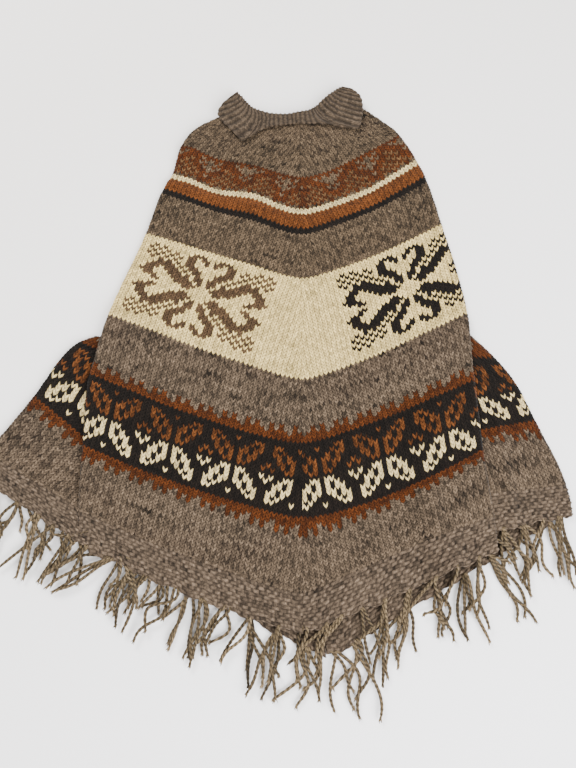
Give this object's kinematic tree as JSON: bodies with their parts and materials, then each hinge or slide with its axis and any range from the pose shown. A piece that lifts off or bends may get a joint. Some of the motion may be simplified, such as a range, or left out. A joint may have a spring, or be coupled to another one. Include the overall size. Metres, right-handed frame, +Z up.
{
  "type": "knitted poncho",
  "caption": "Hand-knitted wool poncho, a flared tube with patterned bands, a turned-down ribbed collar and a fringe, laid flat with a pleat at each side.",
  "frame": {"origin": "on the flat underside of the back, on the centre front line, 380 mm up the cloth from the tip of the front hem", "axes": "+X to the right as seen from above, +Y from the hem to the neck, +Z up from the surface to the front of the poncho"},
  "size_m": [0.8448, 0.9799, 0.0199],
  "materials": {
    "knit_body": "thick handspun wool knitted in stocking stitch, brown-grey with cream, rust and black bands",
    "knit_border": "the same wool in moss stitch",
    "knit_collar": "the same wool in single rib",
    "yarn_fringe": "loose twisted strands of two-ply wool"
  },
  "bodies": {
    "root": {"front": "knit_body", "back": "knit_body", "border_front": "knit_border", "border_back": "knit_border", "collar_front": "knit_collar", "collar_back": "knit_collar", "fringe_front": "yarn_fringe", "fringe_side": "yarn_fringe", "fringe_back": "yarn_fringe"}
  },
  "joints": []
}
